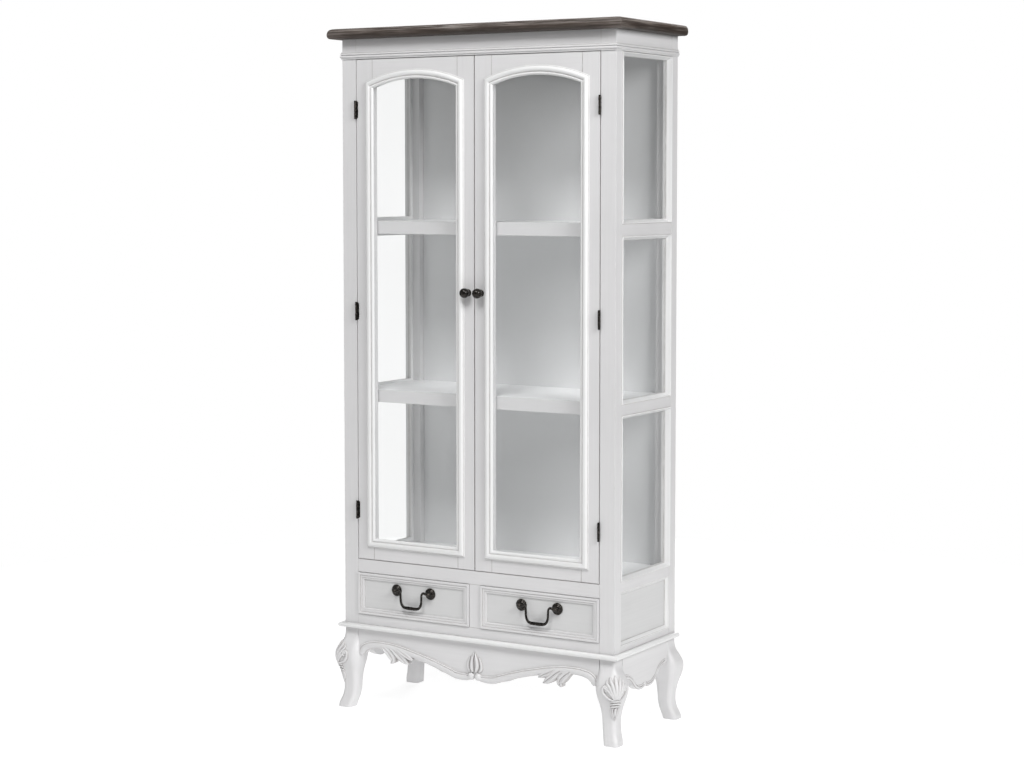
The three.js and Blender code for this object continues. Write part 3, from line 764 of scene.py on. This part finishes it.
# ---- glazed sides
# Round a pane, outwards from its visible edge: (distance, height above the rails, wear), mm.
# Negative wear at the bead's feet paints a dark line: painted shade under the bead, and dirt.
BEAD_PROFILE = [(0, -10.2, -0.8), (0.5, -9.4, -0.2), (2.4, -6.4, 0.1), (4.4, -3.4, 0.1),
                (5.8, -0.4, 0.15), (6.8, 2.4, 0.2), (7.8, 3.8, 0.2), (8.9, 3.9, 0.1), (9.9, 2.6, 0),
                (10.4, 0.4, -0.9), (11, -0.2, -1)]
PANEL_PROFILE = [(0, -9, -1), (1.0, -7.6, -0.2), (3.0, -6.2, 0.1), (5.2, -3.8, 0.15), (7.0, -1.4, 0.1),
                 (8.0, -0.9, -0.8), (8.6, 0.2, 0.1), (10.0, 0.4, 0.2), (11, -0.2, -0.5)]
SIDE_BEAD = 11 * MM
BEAD_REACH = 3 * MM  # how far the beads stand out of the rails
REBATE = 6.7 * MM  # how far a pane reaches behind its bead


def side_frames():
    frame_low, frame_high = limits("side_frame_right")
    face, inside = frame_high.x - BEAD_REACH, frame_low.x
    thick = face - inside
    y0, y1 = frame_low.y, frame_high.y
    panes = []
    for node in ["side_panel_right"] + [f"side_glass_{level}_right" for level in LEVELS]:
        low, high = limits(node)
        panes.append((low.z + REBATE, high.z - REBATE))
    lap = SIDE_BEAD - 0.6 * MM
    edges = [frame_low.z] + [z for low, high in panes for z in (low - lap, high + lap)] + [frame_high.z]
    for name, side in SIDES.items():
        bm = new_mesh()
        for low, high in zip(edges[::2], edges[1::2]):
            if high > low:
                # The rails' jointed edges paint a fine dark line along the beads: painted shade under
                # the beads, and dirt.
                jointed(bm, *box_on_side(side, (inside, face), (y0, y1), (low, high)), axis=1)
        piece(f"side_frame_{name}_rails", bm, "white_paint", "cabinet", f"side_frame_{name}")
        bm = new_mesh()
        for index, (low, high) in enumerate(panes):
            outline = rectangle((y0 + SIDE_BEAD, low), (y1 - SIDE_BEAD, high))
            shape = PANEL_PROFILE if index == 0 else BEAD_PROFILE
            profile = [(-out, height, worn) for out, height, worn in metres(shape)]
            profile += [(-SIDE_BEAD, -thick, 0), (0, -thick, 0)]
            moulding(bm, outline, profile, on_side(side, face))
        # The beads take the paler paint: painted highlight.
        piece(f"side_beads_{name}", bm, "highlit_moulding_paint", "cabinet")
        bm = new_mesh()
        low, high = limits(f"side_panel_{name}")
        board(bm, low, high, axis=1)
        # The side panel takes the darker paint: painted shade in its recess.
        piece(f"side_panel_{name}_painted", bm, "shaded_field_paint", "cabinet", f"side_panel_{name}")


def box_on_side(side, x, y, z):
    """Lowest and highest corner of a box given for the right side, mirrored for the left."""
    xs = sorted(side * value for value in x)
    return (xs[0], y[0], z[0]), (xs[1], y[1], z[1])


# ---- legs
# (depth below the carcass, outer face, inner face), both outwards from the post's corner, mm.
LEG_SHAPE = [(0, 0, -45), (15, 0, -45), (40, 4, -46), (60, 14, -49), (79, 22.5, -51.5),
             (98, 23.5, -50.5), (118, 19, -46.5), (138, 12, -41.5), (165, 6.5, -38),
             (190, 6, -36.5), (210, 9.5, -33.5), (230, 16.5, -28), (240, 17.5, -26)]


def leg_limits(depth):
    """Outer and inner face of a leg at a depth, smoothly between the stations."""
    rows = LEG_SHAPE
    index = next(i for i in range(1, len(rows)) if rows[i][0] >= depth - 1e-6)
    before, start, end = rows[max(index - 2, 0)], rows[index - 1], rows[index]
    after = rows[min(index + 1, len(rows) - 1)]
    run = end[0] - start[0]
    t = (depth - start[0]) / run
    values = []
    for column in (1, 2):
        def slope(a, b):
            return (b[column] - a[column]) / (b[0] - a[0]) if b[0] > a[0] else 0
        m0, m1 = slope(before, end) * run, slope(start, after) * run
        values.append(start[column] * (2 * t ** 3 - 3 * t ** 2 + 1) + m0 * (t ** 3 - 2 * t ** 2 + t)
                      + end[column] * (3 * t ** 2 - 2 * t ** 3) + m1 * (t ** 3 - t ** 2))
    return values


# The leg's section goes from square at the top to rounded below, over the given depths in mm.
SQUARE_UNTIL, ROUND_OVER = 12, 40
SQUARE_DIAGONAL, ROUND_DIAGONAL = 1.97, 1.67  # sum of the two half widths that the corners reach
SQUARE_SHARPNESS, ROUND_SHARPNESS = 40, 18


def leg_surface(side_x, side_y):
    """Returns place(turn, depth, lift): a point on the leg, turn in degrees from its outer corner."""
    corner_y = FRONT if side_y < 0 else BACK

    def place(turn, depth, lift=0.0):
        outer, inner = leg_limits(depth)
        half = (outer - inner) / 2
        centre = (outer + inner) / 2
        ease = min(1.0, max(0.0, (depth - SQUARE_UNTIL) / ROUND_OVER))
        angle = math.radians(45 + turn)
        c, s = math.cos(angle), math.sin(angle)
        diagonal = SQUARE_DIAGONAL + (ROUND_DIAGONAL - SQUARE_DIAGONAL) * ease
        sharpness = SQUARE_SHARPNESS + (ROUND_SHARPNESS - SQUARE_SHARPNESS) * ease
        spread = abs(c) ** sharpness + abs(s) ** sharpness + ((abs(c) + abs(s)) / diagonal) ** sharpness
        radius = half / spread ** (1 / sharpness)
        x = (centre + (radius + lift) * c) * MM
        y = (centre + (radius + lift) * s) * MM
        return Vector((side_x * (HALF + x), corner_y + side_y * y, LEG_TOP - depth * MM))
    return place


CARVED_LIFT = 4.6  # how far the knee carving stands out, in mm

# Fan lobes of a knee: (distance of the tip from the corner, depth of the tip, half width), mm.
FAN = [(0, 50, 6.0), (13, 54, 6.0), (25, 62, 5.6), (34, 74, 5.0)]


def knee_carving(bm, place):
    """Acanthus fan, side scrolls, banded collar and a pendant point on the outer corner."""
    def on_knee(u, v, lift):
        half = (leg_limits(v)[0] - leg_limits(v)[1]) / 2
        return place(math.degrees(u / (half * 1.18)), v, lift)

    lobes = [(way * tip, depth, half) for tip, depth, half in FAN for way in ((-1, 1) if tip else (1,))]
    for tip_u, tip_v, half in lobes:
        line = [(tip_u * 0.18, 113, 2.4), (tip_u * 0.42, 101, half * 0.74),
                (tip_u * 0.86, (tip_v + 95) / 2, half), (tip_u * 1.06, tip_v + 9, half * 0.9),
                (tip_u, tip_v, 0.6)]
        mm_stroke(bm, line, BEAD, on_knee, CARVED_LIFT)
        vein = [(u, v, width * 0.16) for u, v, width in line[1:4]]
        mm_stroke(bm, vein, BEAD, on_knee, CARVED_LIFT * 1.5)
    for way in (-1, 1):
        curl = [(way * 7, 115, 2.6), (way * 20, 112, 4.2), (way * 33, 105, 5.0), (way * 42, 94, 5.0),
                (way * 41, 82, 4.6), (way * 33, 78, 4.2), (way * 27, 84, 3.8), (way * 30, 91, 3.2),
                (way * 35, 88.5, 2.4), (way * 33.5, 86, 1.4)]
        mm_stroke(bm, curl, BEAD, on_knee, CARVED_LIFT * 1.05)
    for depth, half_width in ((118, 17), (125.5, 16.5), (133, 15.5)):
        band = [(-half_width, depth + 2, 2.4), (-half_width * 0.5, depth, 3.4), (0, depth - 0.5, 3.6),
                (half_width * 0.5, depth, 3.4), (half_width, depth + 2, 2.4)]
        mm_stroke(bm, band, BEAD, on_knee, CARVED_LIFT * 0.9)
    for way in (-1, 1):
        petal = [(way * 9.5, 137, 3.8), (way * 9.5, 148, 5.2), (way * 6, 160, 4.2),
                 (way * 1.0, 172, 0.5)]
        mm_stroke(bm, petal, LEAF, on_knee, CARVED_LIFT * 0.7)
    mm_stroke(bm, [(0, 137, 3.4), (0, 150, 4.4), (0, 166, 0.5)], BEAD, on_knee, CARVED_LIFT * 0.85)


def mm_stroke(bm, line, section, place, height):
    """A stroke drawn in millimetres on a leg."""
    stroke(bm, line, section, place, height, sink=1.2, steps=5, thin=0.25, fade_width=3.0)


def legs():
    turns, rings = 64, 60
    depths = [LEG_SHAPE[-1][0] * k / rings for k in range(rings + 1)]
    for end in ENDS:
        for name, side_x in SIDES.items():
            side_y = -1 if end == "front" else 1
            place = leg_surface(side_x, side_y)
            bm = new_mesh()
            part = new_mesh()
            skin(part, [ring_of(part, [place(360 * i / turns, depth) for i in range(turns)], 0)
                        for depth in depths])
            part.normal_update()
            lay_grain(part, 2)
            merge(bm, part)
            if end == "front":
                knee_carving(bm, place)
            node = f"leg_{end}_{name}"
            piece(f"{node}_carved", bm, "white_paint", "cabinet", node, sharp=CARVED_ANGLE)


# ---- aprons
# Lower edges from the middle outwards: (distance from the middle, depth below the carcass), mm.
FRONT_EDGE = [
    [(0, 110), (20, 118), (47, 121), (78, 113), (110, 106), (140, 93), (195, 81)],
    [(195, 81), (206, 77), (222, 74), (238, 72)],
    [(238, 72), (262, 69), (280, 66)],
    [(280, 66), (300, 63), (350, 69), (366, 84), (384.7, 84)],
]
SIDE_EDGE = [[(0, 114), (16, 120), (38, 118), (60, 106), (75, 91), (98, 79), (130.7, 74)]]


def apron_edge(edges):
    """An apron's lower edge from end to end, as (distance from the middle, Z)."""
    points = []
    for edge in edges:
        points += smooth_path(edge, 6)[:-1]
    points.append(edges[-1][-1])
    half = [(u * MM, LEG_TOP - depth * MM) for u, depth in points]
    return [(-u, v) for u, v in reversed(half[1:])] + half


def apron_board(bm, edges, place, thick, axis, nose=2.5 * MM):
    """A board with a straight top and a carved lower edge that is rounded towards the face."""
    part = new_mesh()
    columns = []
    for u, low in apron_edge(edges):
        section = [(LEG_TOP, 0, 0), (low + 4 * nose, 0, 0), (low + nose, 0, 0.1),
                   (low + 0.3 * nose, -0.3 * nose, 0.5), (low, -nose, 0.3), (low, -thick, 0),
                   (LEG_TOP, -thick, 0)]
        spots = [place(u, v, height) for v, height, _ in section]
        columns.append(ring_of(part, spots, *[worn for _, _, worn in section]))
    skin(part, columns)
    part.normal_update()
    lay_grain(part, axis)
    merge(bm, part)


# Strokes on one half of the front apron: [(distance, depth, half width)], mm.
RIBBON_LINE = [(12, 109, 6), (28, 110, 10), (57, 109, 11), (80, 102, 11), (140, 83, 10.5),
               (205, 67, 10.5), (235, 61, 11), (275, 55, 11), (320, 54, 11), (350, 59, 11.5),
               (366, 68, 12), (373, 79, 11), (374, 86, 7)]
SPRAYS = [
    [(250, 58, 6), (236, 66, 10), (222, 73, 9.5), (208, 80, 6), (200, 83, 1.2)],
    [(272, 57, 6), (255, 68, 12), (240, 80, 13), (226, 91, 9), (216, 97, 1.5)],
    [(300, 57, 6), (286, 67, 11), (273, 79, 13), (267, 91, 10), (273, 102, 1.5)],
]
PETAL = [(5, 93, 3.5), (8.5, 79, 6.8), (7.8, 63, 5.6), (3.6, 48, 2.8), (0.6, 37, 0.4)]
SEPAL = [(13, 94, 3), (20.5, 85, 5.2), (21, 72, 4.6), (17, 60, 3), (14, 50, 0.4)]
BALL = (11, 106, 11)  # the two at the middle: (distance, depth, radius), mm
RELIEF = 6.5 * MM  # how far the front apron's carving stands out


def carve_line(bm, line, section, place, height, mirror, sink=1.5 * MM):
    """Carves a line of (distance, depth, half width) in mm, on the right half or mirrored."""
    points = [(mirror * u * MM, LEG_TOP - depth * MM, half * MM) for u, depth, half in line]
    stations = sorted((mirror * across, rise, worn) for across, rise, worn in section)
    stroke(bm, points, stations, place, height, sink=sink)


def front_apron():
    low, high = limits("apron_front")
    thick = high.y - low.y
    place = on_front(low.y)
    bm = new_mesh()
    apron_board(bm, FRONT_EDGE, place, thick, 0)
    for mirror in (-1, 1):
        carve_line(bm, RIBBON_LINE, RIBBON, place, RELIEF, mirror)
        for spray in SPRAYS:
            carve_line(bm, spray, LEAF, place, RELIEF * 1.35, mirror, sink=thick - 4 * MM)
        carve_line(bm, SEPAL, BEAD, place, RELIEF * 0.7, mirror)
        carve_line(bm, PETAL, BEAD, place, RELIEF * 1.2, mirror)
        u, depth, radius = BALL
        boss(bm, mirror * u * MM, LEG_TOP - depth * MM, radius * MM, RELIEF * 1.5, place)
    piece("apron_front_carved", bm, "white_paint", "cabinet", "apron_front", sharp=CARVED_ANGLE)


def side_aprons():
    for name, side in SIDES.items():
        low, high = limits(f"apron_{name}")
        face = max(abs(low.x), abs(high.x))
        flat = on_side(side, face)

        def place(u, v, lift):
            return flat(MIDDLE + u, v, lift)
        bm = new_mesh()
        apron_board(bm, SIDE_EDGE, place, high.x - low.x, 1)
        edge = smooth_path(SIDE_EDGE[0], 2)
        for mirror in (-1, 1):
            for lift_off, half in ((4.5, 3.6), (11.5, 2.2)):
                line = [(u, depth - lift_off, half) for u, depth in edge if 3 < u < 128]
                carve_line(bm, line, BEAD, place, 2.4 * MM, mirror)
        piece(f"apron_{name}_carved", bm, "white_paint", "cabinet", f"apron_{name}", sharp=CARVED_ANGLE)


# ---- doors
STEP = 22 * MM  # width of the moulding that lies on the frame
ARCH_RADIUS = 416 * MM  # of the moulding's outer edge


def arch_line(name, inset, steps=36):
    """The moulding's arched outline on a door, moved inwards by `inset`."""
    low, high = limits(f"door_moulding_{name}")
    centre_x, half = (low.x + high.x) / 2, (high.x - low.x) / 2
    radius = ARCH_RADIUS - inset
    swing = math.degrees(math.asin((half - inset) / radius))
    curve = arc((centre_x, high.z - ARCH_RADIUS), radius, 90 - swing, 90 + swing, steps)
    return [(centre_x - half + inset, low.z + inset), (centre_x + half - inset, low.z + inset)] + curve


# Across the door moulding from its outer edge: (inset, height, wear), mm.
# Negative wear in the groove and at the moulding's feet paints dark lines: painted shade, and dirt.
MOULDING_PROFILE = [(0, -0.2, -0.8), (0, 1.8, 0.2), (1.0, 2.6, 0.2), (2.0, 2.4, -0.9), (2.6, 3.2, -0.3),
                    (4.2, 6.4, 0.1), (6.6, 8.4, 0.2), (9.6, 9.0, 0.15), (12.8, 8.5, 0.1),
                    (15.4, 6.9, 0), (17.0, 4.8, -0.6), (17.8, 4.2, -0.9), (18.6, 4.8, 0.1),
                    (20.2, 5.6, 0.25), (22.0, 5.4, 0.1), (23.4, 4.4, 0), (25.0, 2.6, 0.1),
                    (26.0, 1.0, 0.4), (26.0, -0.2, 0)]


def doors():
    for name, side in SIDES.items():
        low, high = limits(f"door_frame_{name}")
        body = f"door_{name}"
        opening = arch_line(name, STEP)
        left, right = opening[0][0], opening[1][0]
        sill = opening[0][1]
        bm = new_mesh()
        joint = 0.25 * MM
        jointed(bm, low, (left - joint, high.y, high.z))
        jointed(bm, (right + joint, low.y, low.z), high)
        jointed(bm, (left, low.y, low.z), (right, high.y, sill), axis=0)
        head = [(left, high.z), (left, opening[-1][1])] + opening[-2:2:-1]
        head += [(right, opening[2][1]), (right, high.z)]
        slab(bm, head, on_front(low.y), high.y - low.y, 0, **JOINT)
        piece(f"door_frame_{name}_painted", bm, "white_paint", body, f"door_frame_{name}")

        bm = new_mesh()
        moulding(bm, arch_line(name, 0), metres(MOULDING_PROFILE), on_front(low.y))
        # The moulding takes the paler paint: painted highlight.
        piece(f"door_moulding_{name}_carved", bm, "highlit_moulding_paint", body, f"door_moulding_{name}")

        bm = new_mesh()
        knob(bm, f"door_knob_{name}")
        piece(f"door_knob_{name}_turned", bm, "dark_bronze", body, f"door_knob_{name}")

        hinges(name, side, body)


# The knob's foot: (radius, distance from the door, wear), mm. A ball follows.
KNOB_FOOT = [(0, 0, 0.2), (10, 0, 0.4), (10, 1.6, 0.9), (8.8, 2.4, 0.4), (7.6, 2.7, 0.8),
             (6.0, 3.6, 0.2), (4.5, 4.8, 0.2), (4.3, 6, 0.2)]


def knob(bm, node):
    low, high = limits(node)
    reach, ball = high.y - low.y, (high.x - low.x) / 2
    profile = metres(KNOB_FOOT)
    start, steps = math.asin(-0.93), 15
    for i in range(steps):
        angle = start + (math.pi / 2 - start) * i / steps
        profile.append((ball * math.cos(angle), reach - ball + ball * math.sin(angle), 0.35))
    profile.append((0, reach, 0.6))
    turned(bm, profile, out_of_front(node))


KNUCKLES = 5
BARREL = 0.78  # the barrel's radius as a share of half the node's width
GROOVE = 0.78  # the radius between two knuckles as a share of the barrel's


def hinges(name, side, body):
    """A barrel of knuckles with a leaf behind it in the gap, and a clipped leaf on the door."""
    for level in LEVELS:
        node = f"hinge_{level}_{name}"
        low, high = limits(node)
        x, radius = (low.x + high.x) / 2, BARREL * (high.x - low.x) / 2
        y = low.y + radius
        bm = new_mesh()
        length = (high.z - low.z) / KNUCKLES
        profile = [(0, low.z, 0.4)]
        for k in range(KNUCKLES):
            z0 = low.z + k * length
            z1 = z0 + length
            profile += [(radius * GROOVE, z0, 0.2), (radius, z0 + 0.6 * MM, 0.8),
                        (radius, z1 - 0.6 * MM, 0.8), (radius * GROOVE, z1, 0.2)]
        profile.append((0, high.z, 0.4))
        turned(bm, profile, lambda u, v, height: (x + u, y + v, height), segments=20)
        leaf = 0.5 * MM  # half the thickness of the leaf in the gap
        board(bm, (x - leaf, y, low.z), (x + leaf, high.y, high.z), width=0.15 * MM, rub=0.1 * MM)
        piece(f"{node}_barrel", bm, "dark_bronze", "cabinet", node)

        bm = new_mesh()
        clip, top = 4 * MM, 1 * MM  # how much shorter the leaf is at its far and near side
        near, far = x - side * (radius - 1.2 * MM), x - side * (radius + 3.2 * MM)
        outline = [(near, low.z + top), (far, low.z + clip), (far, high.z - clip), (near, high.z - top)]
        if side < 0:
            outline.reverse()
        slab(bm, outline, on_front(FRONT - 1.1 * MM), 0.9 * MM, 2, width=0.2 * MM, rub=0.5 * MM)
        piece(f"hinge_leaf_{level}_{name}", bm, "dark_bronze", body)


# ---- drawers
# Across the frame of a drawer front from its edge: (inset, height, wear), mm.
# Negative wear in the steps paints dark lines: painted shade in the steps, and dirt.
DRAWER_PROFILE = [(0, -21, 0), (0, -0.6, 0.3), (0.6, 0, 0.4), (5.6, 0, 0.1), (6.4, -0.8, -0.7),
                  (6.9, -2.0, -0.9), (7.8, -2.2, 0), (10.6, -1.2, 0.2), (12.6, -1.6, 0.1),
                  (13.3, -3.0, -0.9), (14.4, -3.2, 0), (17.2, -3.6, 0.2), (18.5, -4.6, 0.1),
                  (19.0, -7.2, -0.9), (19.0, -12, -0.5)]
FIELD_RIM, FIELD_DEPTH = 17 * MM, 7 * MM  # the flat field's edge and face, from the frame's


def drawers():
    for name in SIDES:
        low, high = limits(f"drawer_front_{name}")
        body = f"drawer_{name}"
        bm = new_mesh()
        outline = rectangle((low.x, low.z), (high.x, high.z))
        moulding(bm, outline, metres(DRAWER_PROFILE), on_front(low.y))
        piece(f"drawer_front_{name}_frame", bm, "white_paint", body, f"drawer_front_{name}")
        rim = Vector((FIELD_RIM, 0, FIELD_RIM))
        bm = new_mesh()
        board(bm, low + rim + Vector((0, FIELD_DEPTH, 0)), high - rim, width=0.3 * MM)
        # The field takes the darker paint: painted shade in the recess.
        piece(f"drawer_field_{name}", bm, "shaded_field_paint", body)

        bm = new_mesh()
        drawer_box(bm, f"drawer_box_{name}")
        # The drawer box takes the paler inside paint: painted light.
        piece(f"drawer_box_{name}_boards", bm, "inside_paint", body, f"drawer_box_{name}")

        for hand in SIDES:
            node = f"rosette_{hand}_of_{name}_drawer"
            bm = new_mesh()
            turned(bm, metres(ROSETTE), out_of_front(node))
            piece(f"rosette_{hand}_{name}_cast", bm, "dark_bronze", body, node)
        bm = new_mesh()
        bail(bm, f"bail_{name}")
        piece(f"bail_{name}_cast", bm, "dark_bronze", f"pull_{name}", f"bail_{name}")


def drawer_box(bm, node):
    """Sides, front and back boards on a bottom."""
    (x0, y0, z0), (x1, y1, z1) = limits(node)
    wall, base, gap = 10 * MM, 6 * MM, 0.2 * MM
    left, right = x0 + wall, x1 - wall
    board(bm, (x0, y0, z0), (left, y1, z1), axis=1)
    board(bm, (right, y0, z0), (x1, y1, z1), axis=1)
    board(bm, (left + gap, y0, z0), (right - gap, y0 + wall, z1))
    board(bm, (left + gap, y1 - wall, z0), (right - gap, y1, z1))
    board(bm, (left, y0 + wall, z0), (right, y1 - wall, z0 + base), width=0.3 * MM)


# A domed rosette with turned rings and a small post: (radius, distance from the drawer, wear), mm.
ROSETTE = [(0, 0, 0), (15.6, 0, 0.2), (16.4, 0.6, 0.6), (16.4, 1.6, 0.9), (15.4, 2.6, 0.7),
           (14.2, 2.8, 0), (13.4, 3.8, 0.6), (12.0, 4.8, 0.5), (10.8, 4.6, 0), (9.8, 5.8, 0.5),
           (8.0, 7.0, 0.4), (6.4, 7.4, 0), (5.4, 8.4, 0.1), (4.8, 10.0, 0.1), (5.2, 11.6, 0.6),
           (6.0, 13.4, 0.8), (6.0, 15.2, 0.9), (5.0, 17.2, 0.9), (3.4, 18.6, 0.8), (1.8, 19.2, 0.7),
           (0, 19.4, 0.7)]

# Half of a pull: (distance from its middle, depth below the pivots, radius), mm.
PULL_LINE = [(49.8, 0, 3.2), (46, -1.6, 3.6), (41.5, -2.6, 3.4), (37.6, -1, 3.2), (35, 4, 3.1),
             (34.4, 12, 3.1), (34.0, 22, 3.2), (32, 32, 3.4), (27.5, 39.4, 3.7), (21, 43.0, 4.2),
             (12, 43.8, 4.8), (0, 44, 5.0)]


def bail(bm, node):
    """A swan-neck wire that swells into the grip."""
    low, high = limits(node)
    centre_x, y = (low.x + high.x) / 2, (low.y + high.y) / 2
    pivot = limits("rosette_left_of_left_drawer")
    pivot_z = (pivot[0].z + pivot[1].z) / 2
    half = smooth_path(PULL_LINE, 5)
    whole = half + [(-u, down, radius) for u, down, radius in reversed(half[:-1])]
    points = [(centre_x + u * MM, y, pivot_z - down * MM) for u, down, _ in whole]
    rod(bm, points, [radius * MM for _, _, radius in whole])


def kept_nodes():
    """The panes keep their CAD shape and get the glass."""
    for node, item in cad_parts.items():
        if "glass" in node:
            item.data.materials.clear()
            item.data.materials.append(LOOKS["glass"])


studio()
posts()
plain_boards()
notched_boards()
cornice()
base_moulding()
top_board()
side_frames()
legs()
front_apron()
side_aprons()
doors()
drawers()
kept_nodes()

bpy.context.view_layer.update()
